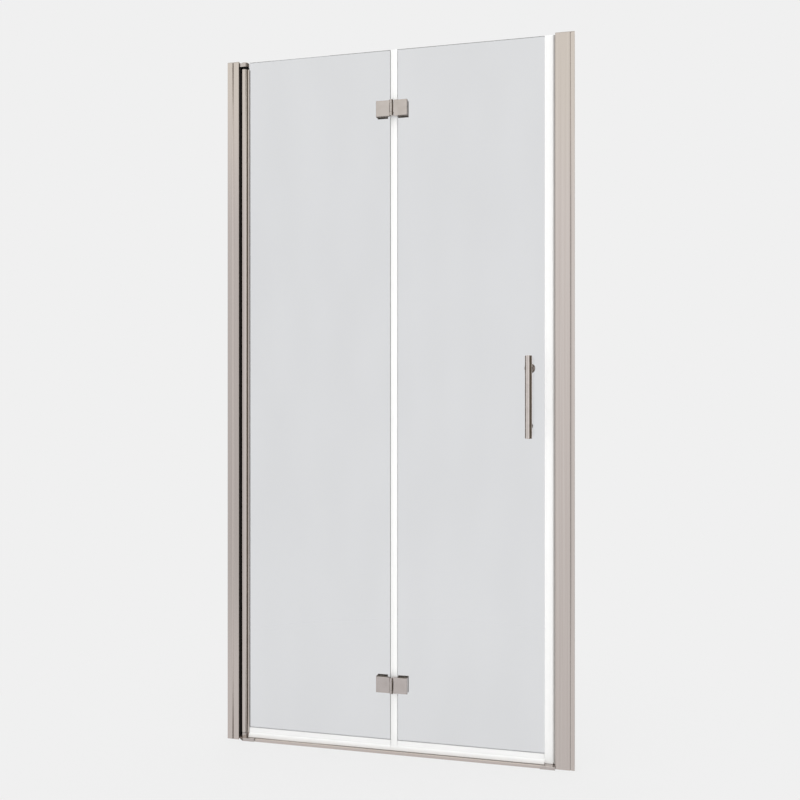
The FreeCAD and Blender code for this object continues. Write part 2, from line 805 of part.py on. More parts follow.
def hinge_screws(side):
    """Button-head screws from the clamp plates into the leaves."""
    tip_y = leaf_front_y + hinge_screw_cover
    top_y = plate_back_y + hinge_screw_head_height
    screws = []
    for x, z in hinge_screw_spots(side, both_hinges):
        shank = rod(Vec(x, tip_y, z), ALONG_Y, hinge_screw_radius, plate_back_y - tip_y)
        seat = Vec(x, plate_back_y, z)
        head = rod(seat, ALONG_Y, hinge_screw_head_radius, hinge_screw_head_height)
        rim = ring_edges(head, lambda p: near(p.y, top_y))
        head = head.makeFillet(hinge_screw_head_rounding, rim)
        recess = rod(Vec(x, top_y, z), -ALONG_Y, screw_recess_radius, screw_recess_depth)
        screws.append(join([shank, head]).cut(recess))
    return Part.makeCompound(screws)


# Pull handle
def handle_bar():
    """Vertical round bar with sockets for the standoffs."""
    low = handle_center_height - handle_length / 2
    bar = rod(Vec(handle_x, handle_y, low), ALONG_Z, handle_radius, handle_length)
    bar = bar.makeChamfer(handle_end_chamfer, ring_edges(bar, lambda p: True))
    socket_radius = standoff_radius + standoff_clearance
    sockets = []
    for z in handle_heights:
        sockets.append(rod(Vec(handle_x, standoff_tip_y, z), ALONG_Y, socket_radius, standoff_sink))
    return cut_away(bar, sockets)


def handle_standoff(z):
    """Round arm between the glass and the bar, tapped for its screw."""
    length = standoff_foot_y - standoff_tip_y
    arm = rod(Vec(handle_x, standoff_tip_y, z), ALONG_Y, standoff_radius, length)
    foot = Vec(handle_x, standoff_foot_y, z)
    return arm.cut(rod(foot, -ALONG_Y, handle_screw_radius, handle_screw_grip))


def handle_rosette(z, radius):
    """Flat ring around the foot of a standoff."""
    foot = Vec(handle_x, standoff_foot_y, z)
    ring = rod(foot, -ALONG_Y, radius, rosette_thickness)
    front_y = standoff_foot_y - rosette_thickness
    ring = ring.makeChamfer(rosette_chamfer, ring_edges(ring, lambda p: near(p.y, front_y)))
    hole_radius = standoff_radius + standoff_clearance
    return ring.cut(rod(foot, -ALONG_Y, hole_radius, rosette_thickness))


def handle_inner_cap(z, radius):
    """Round cap on the inside of the glass, counterbored for the screw head."""
    foot = Vec(handle_x, pane_half + washer_thickness, z)
    cap = rod(foot, ALONG_Y, radius, inner_cap_thickness)
    rim = ring_edges(cap, lambda p: near(p.y, inner_cap_back_y))
    cap = cap.makeFillet(inner_cap_rounding, rim)
    head_radius = handle_screw_head_radius + screw_hole_clearance
    seat = Vec(handle_x, handle_screw_seat_y, z)
    counterbore = rod(seat, ALONG_Y, head_radius, handle_screw_head_height)
    shank_radius = handle_screw_radius + screw_hole_clearance
    shank_room = rod(foot, ALONG_Y, shank_radius, inner_cap_thickness)
    return cut_away(cap, [counterbore, shank_room])


def handle_washers():
    """Clear washers between the glass and the metal on both sides."""
    room_radius = handle_screw_radius + screw_hole_clearance
    washers = []
    for z, radius in zip(handle_heights, rosette_radii):
        for start_y in (standoff_foot_y, pane_half):
            start = Vec(handle_x, start_y, z)
            disc = rod(start, ALONG_Y, radius - washer_inset, washer_thickness)
            washers.append(disc.cut(rod(start, ALONG_Y, room_radius, washer_thickness)))
    return Part.makeCompound(washers)


def handle_screws():
    """Socket-head screws through the glass into the standoffs."""
    length = handle_screw_seat_y - handle_screw_tip_y
    screws = []
    for z in handle_heights:
        shank = rod(Vec(handle_x, handle_screw_tip_y, z), ALONG_Y, handle_screw_radius, length)
        seat = Vec(handle_x, handle_screw_seat_y, z)
        head = rod(seat, ALONG_Y, handle_screw_head_radius, handle_screw_head_height)
        top = Vec(handle_x, inner_cap_back_y, z)
        recess = rod(top, -ALONG_Y, handle_screw_radius, screw_recess_depth)
        screws.append(join([shank, head]).cut(recess))
    return Part.makeCompound(screws)


# Frame pieces
hinge_side_holes = screw_holes(hinge_screw_x, jamb_screw_heights)
hinge_side_holes += screw_holes(hinge_screw_x, bracket_screw_heights)
strike_side_holes = screw_holes(strike_screw_x, jamb_screw_heights)
jamb_screw_spots = [(x, z) for x in (hinge_screw_x, strike_screw_x) for z in jamb_screw_heights]
jamb_screws = [flange_screw(x, z, jamb_screw_length) for x, z in jamb_screw_spots]
bracket_screws = [flange_screw(hinge_screw_x, z, bracket_screw_length) for z in bracket_screw_heights]

pieces = {
    "hinge_wall_channel": wall_channel(
        hinge_wall_x, 1, hinge_reveal, hinge_lip_bevel, hinge_bevel_depth, hinge_side_holes),
    "strike_wall_channel": wall_channel(
        strike_wall_x, -1, strike_reveal, strike_lip_bevel, strike_bevel_depth, strike_side_holes),
    "hinge_jamb": hinge_jamb(),
    "strike_jamb": strike_jamb(),
    "hinge_jamb_cap": jamb_cap(hinge_wall_x, hinge_tip_x, hinge_reveal, 1),
    "strike_jamb_cap": jamb_cap(strike_wall_x, strike_face_x, strike_reveal, -1),
    "hinge_jamb_seal": hinge_jamb_seal(),
    "strike_magnet_holder": strike_magnet_holder(),
    "strike_magnet": magnet_strip(magnet_room_x, magnet_room_half, holder_z),
    "jamb_fixing_screws": Part.makeCompound(jamb_screws),
    "jamb_screw_covers": Part.makeCompound([screw_cover(x, z) for x, z in jamb_screw_spots]),
    "top_pivot_bracket": top_pivot_bracket(),
    "top_pivot_pin": pin_bar(post_top - pivot_pin_engagement, door_height - pivot_pin_cover),
    "bottom_pivot_foot": bottom_pivot_foot(),
    "bottom_pivot_pin": pin_bar(pivot_pin_cover, post_bottom + pivot_pin_engagement),
    "pivot_bracket_screws": Part.makeCompound(bracket_screws),
    "threshold": threshold(),
    "threshold_end_cap": threshold_end_cap(),
}

# First panel
pieces["pivot_post"] = pivot_post()
pieces["top_pivot_bush"] = pivot_bush(post_top, -1, top_bush_flange)
pieces["bottom_pivot_bush"] = pivot_bush(post_bottom, 1, bottom_bush_flange)
pieces["post_glazing_gasket"] = post_glazing_gasket()
pieces["pivot_glass"] = pivot_glass()
pivot_seal_left = lip_end_x + seal_end_gap
pieces["pivot_bottom_seal"] = bottom_seal(pivot_seal_left, mid_seal_left - seal_end_gap, pivot_seal_left)
pieces["pivot_leaf_screws"] = hinge_screws(-1)

# Second panel
pieces["folding_glass"] = folding_glass()
folding_seal_right = closing_seal_left - seal_end_gap
pieces["folding_bottom_seal"] = bottom_seal(mid_seal_right + seal_end_gap, folding_seal_right, mid_seal_left)
pieces["mid_seal"] = mid_seal()
pieces["closing_seal"] = closing_seal()
pieces["closing_magnet"] = magnet_strip(bulb_room_x, bulb_room_half, (seal_bottom, pane_top))
pieces["fold_leaf_screws"] = hinge_screws(1)
pieces["handle_bar"] = handle_bar()
pieces["handle_washers"] = handle_washers()
pieces["handle_screws"] = handle_screws()

# The lower hinge is the upper one turned end for end across the gap, so its middle knuckle changes sides
for place, z_mid, fold_has_middle in (("upper", upper_hinge_z, True), ("lower", lower_hinge_z, False)):
    pieces[place + "_hinge_pivot_leaf"] = hinge_leaf(-1, z_mid, not fold_has_middle, 0)
    pieces[place + "_hinge_fold_leaf"] = hinge_leaf(1, z_mid, fold_has_middle, hinge_pin_clearance)
    pieces[place + "_hinge_pin"] = on_hinge_axis(hinge_z_pair(z_mid), hinge_pin_radius)
    for side_name, side in (("pivot", -1), ("fold", 1)):
        pieces[place + "_hinge_" + side_name + "_plate"] = hinge_plate(side, z_mid)
        pieces[place + "_hinge_" + side_name + "_pads"] = hinge_pads(side, z_mid)

for place, z, radius in zip(("upper", "lower"), handle_heights, rosette_radii):
    pieces[place + "_handle_standoff"] = handle_standoff(z)
    pieces[place + "_handle_rosette"] = handle_rosette(z, radius)
    pieces[place + "_handle_inner_cap"] = handle_inner_cap(z, radius)

os.makedirs("parts", exist_ok=True)
for name, shape in pieces.items():
    shape.exportStep("parts/" + name + ".step")
    print(name, len(shape.Solids), "solids, valid", shape.isValid(), "volume", round(shape.Volume, 1))
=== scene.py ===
# %% [markdown]
# # A frameless bi-fold shower door
# Two panes of clear glass hang from a round post beside the wall and fold in the middle on two
# small hinges. The metal pieces arrive as finished solids at their real size. This lesson gives
# every piece its finish, remakes the soft strips as finer meshes, and sets up a plain studio.
# Everything is in metres: +X runs along the door, +Y into the shower and +Z up.

# %% Load the door
import json
import math

import bmesh
import bpy
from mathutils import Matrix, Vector


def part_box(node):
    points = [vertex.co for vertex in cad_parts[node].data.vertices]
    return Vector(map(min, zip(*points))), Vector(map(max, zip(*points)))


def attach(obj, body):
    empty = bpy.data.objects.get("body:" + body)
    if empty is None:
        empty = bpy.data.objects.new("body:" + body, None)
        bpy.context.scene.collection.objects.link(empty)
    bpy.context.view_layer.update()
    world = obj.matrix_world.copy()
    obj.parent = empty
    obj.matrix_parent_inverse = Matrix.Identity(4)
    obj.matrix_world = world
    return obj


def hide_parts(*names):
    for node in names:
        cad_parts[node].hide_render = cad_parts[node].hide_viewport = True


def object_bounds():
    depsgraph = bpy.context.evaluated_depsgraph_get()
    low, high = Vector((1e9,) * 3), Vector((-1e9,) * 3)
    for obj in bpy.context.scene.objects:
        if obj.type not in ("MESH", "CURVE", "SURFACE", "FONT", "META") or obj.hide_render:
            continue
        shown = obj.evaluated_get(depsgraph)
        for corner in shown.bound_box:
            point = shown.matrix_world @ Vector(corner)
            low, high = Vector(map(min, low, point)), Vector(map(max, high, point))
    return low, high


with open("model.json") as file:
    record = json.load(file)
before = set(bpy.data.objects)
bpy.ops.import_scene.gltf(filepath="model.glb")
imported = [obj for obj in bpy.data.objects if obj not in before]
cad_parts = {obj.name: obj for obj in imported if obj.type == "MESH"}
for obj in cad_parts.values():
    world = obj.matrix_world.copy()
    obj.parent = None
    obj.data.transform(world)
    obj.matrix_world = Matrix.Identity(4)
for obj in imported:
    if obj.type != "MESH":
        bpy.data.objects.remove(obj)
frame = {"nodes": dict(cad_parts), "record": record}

scene = bpy.context.scene
solid_box = [list(corner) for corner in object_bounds()]
MM = 0.001
print("door", [round(value / MM) for value in solid_box[0] + solid_box[1]], "mm")

# %% [markdown]
# ## Colours and shader nodes
# A colour picked from a picture is an sRGB value, but a shader works with linear light, so one
# function turns a hex colour into linear numbers. A second one adds a shader node, sets its
# values and links its inputs. Every finish below is built from these two.

# %% Two helpers for every finish
def linear(hex_colour):
    """Linear colour with alpha from an sRGB hex value."""
    channels = [int(hex_colour[i:i + 2], 16) / 255 for i in (1, 3, 5)]
    bent = [c / 12.92 if c <= 0.04045 else ((c + 0.055) / 1.055) ** 2.4 for c in channels]
    return (*bent, 1.0)


def add_node(tree, kind, settings=None, links=None):
    """Adds one node; settings are its sockets or properties, links are sources for its sockets."""
    node = tree.nodes.new(kind)
    for name, value in (settings or {}).items():
        if isinstance(name, int) or name in node.inputs:
            node.inputs[name].default_value = value
        else:
            setattr(node, name, value)
    for name, source in (links or {}).items():
        tree.links.new(source, node.inputs[name])
    return node


def start_finish(name, hex_colour, **sockets):
    """New material with a principled shader; sockets are values that are the same all over."""
    material = bpy.data.materials.new(name)
    material.use_nodes = True
    tree = material.node_tree
    shader = tree.nodes["Principled BSDF"]
    shader.inputs["Base Color"].default_value = linear(hex_colour)
    for socket, value in sockets.items():
        shader.inputs[socket.replace("_", " ")].default_value = value
    return material, tree, shader


print("white is", [round(value, 3) for value in linear("#FFFFFF")])

# %% [markdown]
# ## Grain
# Brushed metal, extruded plastic and moulded parts all carry a pattern that is drawn out along
# one direction or even all round. One pattern serves them all: noise whose grains have a real
# width and a real length in millimetres. It tints the colour between two close shades, spreads
# the roughness between two values, and raises a fine bump. A mix node knows its sockets only by
# number, so those get names first: two colours in and one out, or two plain numbers in.

# %% Grain pattern
MIX_A, MIX_B, MIX_COLOUR = 6, 7, 2
MIX_LOW, MIX_HIGH = 2, 3
NOISE_ROUGHNESS = 0.55
NOISE_LOW, NOISE_HIGH = 0.3, 0.7


def grain(tree, size_mm, detail):
    """Noise with grains of a given size along X, Y and Z, fixed to the piece."""
    place = add_node(tree, "ShaderNodeTexCoord")
    scale = [1 / (length * MM) for length in size_mm]
    stretch = add_node(tree, "ShaderNodeMapping", {"Scale": scale}, {"Vector": place.outputs["Object"]})
    settings = {"Scale": 1.0, "Detail": detail, "Roughness": NOISE_ROUGHNESS}
    return add_node(tree, "ShaderNodeTexNoise", settings, {"Vector": stretch.outputs["Vector"]})


def tint(tree, shader, pattern, shade_one, shade_two):
    """Colour that wanders between two shades."""
    spread = add_node(tree, "ShaderNodeMapRange", {"From Min": NOISE_LOW, "From Max": NOISE_HIGH},
                      {"Value": pattern.outputs["Fac"]})
    mix = add_node(tree, "ShaderNodeMix",
                   {"data_type": "RGBA", MIX_A: linear(shade_one), MIX_B: linear(shade_two)},
                   {"Factor": spread.outputs["Result"]})
    tree.links.new(mix.outputs[MIX_COLOUR], shader.inputs["Base Color"])


def polish(tree, shader, pattern, smooth, rough):
    """Roughness that wanders between two values."""
    spread = add_node(tree, "ShaderNodeMapRange",
                      {"From Min": NOISE_LOW, "From Max": NOISE_HIGH, "To Min": smooth, "To Max": rough},
                      {"Value": pattern.outputs["Fac"]})
    tree.links.new(spread.outputs["Result"], shader.inputs["Roughness"])


def relief(tree, shader, pattern, depth_mm, strength):
    """Bump of a real depth."""
    bump = add_node(tree, "ShaderNodeBump", {"Strength": strength, "Distance": depth_mm * MM},
                    {"Height": pattern.outputs["Fac"]})
    tree.links.new(bump.outputs["Normal"], shader.inputs["Normal"])


print("grain, tint, polish and relief are ready")

# %% [markdown]
# ## Brushed nickel on extruded aluminium
# The jambs, wall channels, post and sill are aluminium pressed through a die, brushed along
# their length and anodised to a warm nickel grey. The eye gets a soft mirror with faint lines
# that run along the profile. Real brush lines are about 0.1 mm apart and too fine to show from
# two metres, so they are drawn 0.9 mm wide, with a second, broader set that reads from afar.

# %% Brushed nickel, along Z for uprights and along X for the sill
NICKEL = "#D5CCC7"
NICKEL_SHADE = "#CDC3BE"
LINE_WIDTH = 0.9
LINE_LENGTH = 140.0
LINE_DETAIL = 3.0
LINE_DEPTH = 0.02
LINE_STRENGTH = 0.15
BAND_WIDTH = 5.0
BAND_LENGTH = 900.0
BAND_DETAIL = 2.0
BRUSHED_SMOOTH, BRUSHED_MEAN, BRUSHED_ROUGH = 0.1, 0.14, 0.18


def brushed_nickel(name, along):
    """Anodised aluminium with brush lines along one axis."""
    material, tree, shader = start_finish(name, NICKEL, Metallic=1.0, Roughness=BRUSHED_MEAN)
    line_size = [LINE_LENGTH if axis == along else LINE_WIDTH for axis in "XYZ"]
    band_size = [BAND_LENGTH if axis == along else BAND_WIDTH for axis in "XYZ"]
    lines = grain(tree, line_size, LINE_DETAIL)
    bands = grain(tree, band_size, BAND_DETAIL)
    tint(tree, shader, bands, NICKEL, NICKEL_SHADE)
    polish(tree, shader, lines, BRUSHED_SMOOTH, BRUSHED_ROUGH)
    relief(tree, shader, lines, LINE_DEPTH, LINE_STRENGTH)
    return material


upright_nickel = brushed_nickel("anodised_aluminium_brushed_upright", "Z")
sill_nickel = brushed_nickel("anodised_aluminium_brushed_sill", "X")
print(upright_nickel.name, sill_nickel.name)

# %% [markdown]
# ## Satin nickel plate on cast and turned pieces
# The hinge leaves, bracket, foot and caps are die-cast and plated, and the handle is turned.
# Plate follows a casting's faint orange-peel skin, so its reflections are a touch softer and
# waver a little. Turned pieces are polished round, so they are smoother and a little lighter.

# %% Satin nickel
CAST_NICKEL = "#CCC4C1"
CAST_SHADE = "#C4BCB8"
TURNED_NICKEL = "#E2D9D4"
TURNED_SHADE = "#DAD1CC"
CASTING_SKIN = 1.6
TURNED_SKIN = CASTING_SKIN / 2
SKIN_DETAIL = 2.0
SKIN_STRENGTH = 0.12
CLOUD_SKINS = 14
CLOUD_DETAIL = 1.0


def satin_metal(name, shade_one, shade_two, skin_mm, smooth, rough, depth_mm):
    """Plated or turned metal with a fine skin and broad, faint clouds."""
    material, tree, shader = start_finish(name, shade_one, Metallic=1.0, Roughness=rough)
    skin = grain(tree, [skin_mm] * 3, SKIN_DETAIL)
    cloud = grain(tree, [skin_mm * CLOUD_SKINS] * 3, CLOUD_DETAIL)
    tint(tree, shader, cloud, shade_one, shade_two)
    polish(tree, shader, skin, smooth, rough)
    relief(tree, shader, skin, depth_mm, SKIN_STRENGTH)
    return material


cast_nickel = satin_metal(
    "zinc_casting_satin_nickel_plated", CAST_NICKEL, CAST_SHADE,
    skin_mm=CASTING_SKIN, smooth=0.17, rough=0.26, depth_mm=0.012)
turned_nickel = satin_metal(
    "turned_bar_satin_nickel_plated", TURNED_NICKEL, TURNED_SHADE,
    skin_mm=TURNED_SKIN, smooth=0.09, rough=0.15, depth_mm=0.006)
print(cast_nickel.name, turned_nickel.name)

# %% [markdown]
# ## Clear toughened glass
# The panes are 6 mm soda-lime glass with ground and polished edges. Its iron gives it a trace of
# green-grey that deepens at the edges, where light travels along the pane. Toughening leaves the
# surface very slightly wavy over a few centimetres, which breaks up reflections.

# %% Glass
GLASS_TINT = "#E9EAEC"
GLASS_SHADE = "#E7E8EA"
GLASS_EDGE = "#8F9A98"
ROLLER_WAVE = 90.0
WAVE_STRETCH = 3
WAVE_DETAIL = 0.0
WAVE_DEPTH = 0.02
WAVE_STRENGTH = 0.05

pane_glass, tree, shader = start_finish(
    "soda_lime_glass_toughened", GLASS_TINT, Transmission_Weight=1.0, Roughness=0.0, IOR=1.5)
wave = grain(tree, [ROLLER_WAVE, ROLLER_WAVE, ROLLER_WAVE * WAVE_STRETCH], WAVE_DETAIL)
tint(tree, shader, wave, GLASS_TINT, GLASS_SHADE)
facing = add_node(tree, "ShaderNodeSeparateXYZ", {},
                  {0: add_node(tree, "ShaderNodeTexCoord").outputs["Normal"]})
flatness = add_node(tree, "ShaderNodeMath", {"operation": "ABSOLUTE"}, {0: facing.outputs["Y"]})
edge_tint = add_node(tree, "ShaderNodeMix", {"data_type": "RGBA", MIX_A: linear(GLASS_EDGE)},
                     {0: flatness.outputs[0], MIX_B: shader.inputs["Base Color"].links[0].from_socket})
tree.links.new(edge_tint.outputs[MIX_COLOUR], shader.inputs["Base Color"])
relief(tree, shader, wave, WAVE_DEPTH, WAVE_STRENGTH)
print(pane_glass.name)

# %% [markdown]
# ## Plastics and rubbers
# The strips on the panes are white flexible PVC, drawn through a die, so faint lines run along
# them. Those under the panes are a little milky. Their colour is painted greyer towards the lower
# edge of the fin, as painted shade for the fin's downward-facing lip. The gasket in the post
# and the strip on the closing jamb are the same plastic in grey.
# The pivot bushes are moulded black nylon, and the pads behind the hinges and the strip beside
# the post are black EPDM with a dull, slightly dusty skin.

# %% Drawn and moulded plastics, and the white strips
DIE_LINE_WIDTH = 1.2
DIE_LINE_LENGTH = 400.0
DIE_LINE_DETAIL = 2.0
DIE_LINE_DEPTH = 0.03
DIE_LINE_STRENGTH = 0.2
MOULD_DETAIL = 3.0
MOULD_DEPTH = 0.03
MOULD_STRENGTH = 0.25
WHITE_PVC = "#FAFAF9"
WHITE_PVC_SHADE = "#F6F6F5"
WHITE_SMOOTH, WHITE_ROUGH = 0.38, 0.5


def drawn_plastic(name, shade_one, shade_two, along, smooth, rough, **sockets):
    """Extruded plastic with faint die lines along one axis."""
    material, tree, shader = start_finish(name, shade_one, Roughness=rough, **sockets)
    size = [DIE_LINE_LENGTH if axis == along else DIE_LINE_WIDTH for axis in "XYZ"]
    lines = grain(tree, size, DIE_LINE_DETAIL)
    tint(tree, shader, lines, shade_one, shade_two)
    polish(tree, shader, lines, smooth, rough)
    relief(tree, shader, lines, DIE_LINE_DEPTH, DIE_LINE_STRENGTH)
    return material


def moulded(name, shade_one, shade_two, spot_mm, smooth, rough, **sockets):
    """Moulded or cut material with an even, fine-grained skin."""
    material, tree, shader = start_finish(name, shade_one, Roughness=rough, **sockets)
    skin = grain(tree, [spot_mm] * 3, MOULD_DETAIL)
    tint(tree, shader, skin, shade_one, shade_two)
    polish(tree, shader, skin, smooth, rough)
    relief(tree, shader, skin, MOULD_DEPTH, MOULD_STRENGTH)
    return material


milky = {"Subsurface_Weight": 0.3, "Subsurface_Radius": (1.0, 1.0, 1.0), "Subsurface_Scale": 2.0 * MM}
white_pvc_upright = drawn_plastic(
    "flexible_pvc_white_upright", WHITE_PVC, WHITE_PVC_SHADE, "Z", WHITE_SMOOTH, WHITE_ROUGH)
white_pvc_sill = drawn_plastic(
    "flexible_pvc_white_sill", WHITE_PVC, WHITE_PVC_SHADE, "X", WHITE_SMOOTH, WHITE_ROUGH, **milky)
print(white_pvc_upright.name, white_pvc_sill.name)

# %% Painted shade on the lip of the bottom seals
# Painted shade: the white fades to a grey over the lowest few millimetres of the bottom seals, in place of
# the shade on the fin's downward-facing lip.
LIP_PAINTED_SHADE = "#D8D5D2"
LIP_FADE = 8.5 * MM
tree = white_pvc_sill.node_tree
shader = tree.nodes["Principled BSDF"]
place = add_node(tree, "ShaderNodeSeparateXYZ", {},
                 {0: add_node(tree, "ShaderNodeTexCoord").outputs["Object"]})
lip_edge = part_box("pivot_bottom_seal")[0].z
lip_shade_ramp = add_node(tree, "ShaderNodeMapRange", {"From Min": lip_edge, "From Max": lip_edge + LIP_FADE},
                     {"Value": place.outputs["Z"]})
lip_painted_shade = add_node(tree, "ShaderNodeMix", {"data_type": "RGBA", MIX_A: linear(LIP_PAINTED_SHADE)},
                    {0: lip_shade_ramp.outputs["Result"],
                     MIX_B: shader.inputs["Base Color"].links[0].from_socket})
tree.links.new(lip_painted_shade.outputs[MIX_COLOUR], shader.inputs["Base Color"])
print("lip fades over", round(LIP_FADE / MM, 1), "mm")

# %% Grey and black plastics, rubber, vinyl and magnet
grey_pvc = drawn_plastic("flexible_pvc_grey", "#B3AFAC", "#A9A5A2", "Z", smooth=0.4, rough=0.55)
black_nylon = moulded("moulded_black_nylon", "#080707", "#0F0E0D",
                      spot_mm=0.8, smooth=0.45, rough=0.6, Specular_IOR_Level=0.12)
epdm = moulded("black_epdm", "#171513", "#211E1B",
               spot_mm=0.6, smooth=0.65, rough=0.85, Specular_IOR_Level=0.2)
vinyl = moulded("clear_vinyl", "#E6E9EA", "#DDE1E2",
                spot_mm=2.0, smooth=0.2, rough=0.32, Transmission_Weight=0.75, IOR=1.53)
magnet = moulded("bonded_ferrite_magnet", "#2B2623", "#352F2B", spot_mm=0.5, smooth=0.55, rough=0.7)
print(grey_pvc.name, black_nylon.name, epdm.name, vinyl.name, magnet.name)

# %% [markdown]
# ## Stainless screws and pins
# Screws and pins are turned from stainless bar: brighter and cooler than the nickel around them,
# with fine lathe lines.

# %% Stainless steel
STEEL = "#C9C8C6"
STEEL_SHADE = "#BDBBB8"
LATHE_LINE = 0.5

stainless = satin_metal("turned_stainless_steel", STEEL, STEEL_SHADE,
                        skin_mm=LATHE_LINE, smooth=0.16, rough=0.28, depth_mm=0.006)
print(stainless.name)

# %% [markdown]
# ## Dressing the solids
# Each solid belongs to a material slot of the record. A table of slots gives every one its
# finish, and a few pieces of a slot that are made another way get their own.

# %% Finishes for every solid
finish_of_slot = {
    "nickel_aluminium": upright_nickel,
    "nickel_castings": cast_nickel,
    "clear_glass": pane_glass,
    "white_seal": white_pvc_upright,
    "grey_seal": grey_pvc,
    "black_nylon": black_nylon,
    "black_rubber": epdm,
    "clear_vinyl": vinyl,
    "steel_fasteners": stainless,
    "magnet_strip": magnet,
}
finish_of_piece = {
    "threshold": sill_nickel,
    "pivot_bottom_seal": white_pvc_sill,
    "folding_bottom_seal": white_pvc_sill,
}
turned_words = ("handle_bar", "handle_standoff", "handle_rosette", "handle_inner_cap")

for row in frame["record"]["subparts"]:
    name = row["node"]
    finish = finish_of_piece.get(name, finish_of_slot[row["material_slot"]])
    if name.endswith(turned_words):
        finish = turned_nickel
    frame["nodes"][name].data.materials.clear()
    frame["nodes"][name].data.materials.append(finish)
for name in ("pivot_glass", "folding_glass"):
    frame["nodes"][name].visible_shadow = False
print(len(frame["nodes"]), "solids dressed")

# %% [markdown]
# ## Rounded sections
# The strips on the panes are long and have the same section all along. A section is a closed
# outline of corners, each with a radius, as a die maker would draw it. It is filled, pushed
# along the strip and eased at its ends. A plain box would have hard corners that no soft strip
# has, and a modelled curve would not keep the slot for the glass exact.

# %% Draw a section and push it along
ARC_STEPS = 5
END_EASE = 0.25 * MM
EASE_STEPS = 2
EASE_ANGLE = math.radians(60)
SHARP_ANGLE = math.radians(40)


def rounded(corners):
    """Points of a closed outline from corners (across, up, radius), all in metres."""
    points = []
    for index, (across, up, radius) in enumerate(corners):
        here = Vector((across, up))
        before = Vector(corners[index - 1][:2]) - here
        after = Vector(corners[(index + 1) % len(corners)][:2]) - here
        if radius == 0:
            points.append(here)
            continue
        half_turn = before.angle(after) / 2
        reach = radius / math.tan(half_turn)
        inwards = (before.normalized() + after.normalized()).normalized()
        middle = here + inwards * radius / math.sin(half_turn)
        start = here + before.normalized() * reach - middle
        end = here + after.normalized() * reach - middle
        for step in range(ARC_STEPS + 1):
            points.append(middle + start.normalized().slerp(end.normalized(), step / ARC_STEPS) * radius)
    return points


def push_section(name, loops, along, start, end, finish):
    """Strip from closed loops of points, the later ones being holes, pushed along X or Z."""
    strip = bmesh.new()
    edges = []
    for loop in loops:
        if along == "Z":
            corners = [strip.verts.new((across, up, start)) for across, up in loop]
        else:
            corners = [strip.verts.new((start, across, up)) for across, up in loop]
        edges += [strip.edges.new((a, b)) for a, b in zip(corners, corners[1:] + corners[:1])]
    bmesh.ops.triangle_fill(strip, use_beauty=True, use_dissolve=False, edges=edges)
    pushed = bmesh.ops.extrude_face_region(strip, geom=strip.faces[:])
    moved = [item for item in pushed["geom"] if isinstance(item, bmesh.types.BMVert)]
    push = Vector((0, 0, end - start)) if along == "Z" else Vector((end - start, 0, 0))
    bmesh.ops.translate(strip, verts=moved, vec=push)
    bmesh.ops.recalc_face_normals(strip, faces=strip.faces[:])
    mesh = bpy.data.meshes.new(name)
    strip.to_mesh(mesh)
    strip.free()
    mesh.materials.append(finish)
    mesh.shade_smooth()
    mesh.set_sharp_from_angle(angle=SHARP_ANGLE)
    piece = bpy.data.objects.new(name, mesh)
    scene.collection.objects.link(piece)
    ease = piece.modifiers.new("eased_ends", "BEVEL")
    ease.width = END_EASE
    ease.segments = EASE_STEPS
    ease.limit_method = "ANGLE"
    ease.angle_limit = EASE_ANGLE
    return piece


def stand_in(piece, node, body):
    """The piece takes a solid's place on its body."""
    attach(piece, body)
    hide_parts(node)
    print(piece.name, len(piece.data.vertices), "points")


# %% [markdown]
# ## White seals on the panes
# A bottom seal grips the pane with two arms and hangs a slanted fin over the sill. On the second
# pane the fin runs on to the left, under the middle seal, so that no gap is left at the fold.
# The middle seal sits on the second pane and its nose closes the gap to the first. The closing
# seal holds a magnet in a hollow bulb. Each takes the glass and its own solid as its measure.

# %% Bottom seals
pane_low, pane_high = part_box("folding_glass")
pane_front, pane_back = pane_low.y, pane_high.y
LIP = 0.7 * MM
ROOT = 0.35 * MM
FIN = 1.8 * MM
SEAL_GAP = 0.3 * MM

grip_left = {"pivot_bottom_seal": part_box("pivot_bottom_seal")[0].x,
             "folding_bottom_seal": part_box("mid_seal")[1].x + SEAL_GAP}

for node, pane, body in (("pivot_bottom_seal", "pivot_glass", "pivot_panel"),
                         ("folding_bottom_seal", "folding_glass", "folding_panel")):
    low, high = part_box(node)
    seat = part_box(pane)[0].z
    wall = high.y - pane_back
    front = pane_front - wall
    base = seat - wall
    section = [
        (high.y, high.z, LIP), (pane_back, high.z, LIP),
        (pane_back, seat, ROOT), (pane_front, seat, ROOT),
        (pane_front, high.z, LIP), (front, high.z, LIP), (front, base, ROOT), (low.y, low.z, LIP),
        (low.y + FIN, low.z, LIP), (front + FIN, base, ROOT), (high.y, base, LIP),
    ]
    left = grip_left[node]
    strip = push_section("soft_" + node, [rounded(section)], "X", left, high.x, white_pvc_sill)
    stand_in(strip, node, body)
    if left > low.x:
        fin = [(front, base, ROOT), (low.y, low.z, LIP),
               (low.y + FIN, low.z, LIP), (front + FIN, base, ROOT)]
        overrun = push_section("soft_fin_overrun", [rounded(fin)], "X", low.x, left, white_pvc_sill)
        stand_in(overrun, node, body)

# %% Middle and closing seals
NOSE_HALF = 2.0 * MM
BULB_WALL = 1.3 * MM

low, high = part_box("mid_seal")
pane_edge = pane_low.x
root = pane_edge - (high.y - pane_back)
section = [
    (high.x, low.y, LIP), (high.x, pane_front, LIP),
    (pane_edge, pane_front, ROOT), (pane_edge, pane_back, ROOT),
    (high.x, pane_back, LIP), (high.x, high.y, LIP), (root, high.y, LIP), (low.x, NOSE_HALF, LIP),
    (low.x, -NOSE_HALF, LIP), (root, low.y, LIP),
]
strip = push_section("soft_mid_seal", [rounded(section)], "Z", low.z, high.z, white_pvc_upright)
stand_in(strip, "mid_seal", "folding_panel")

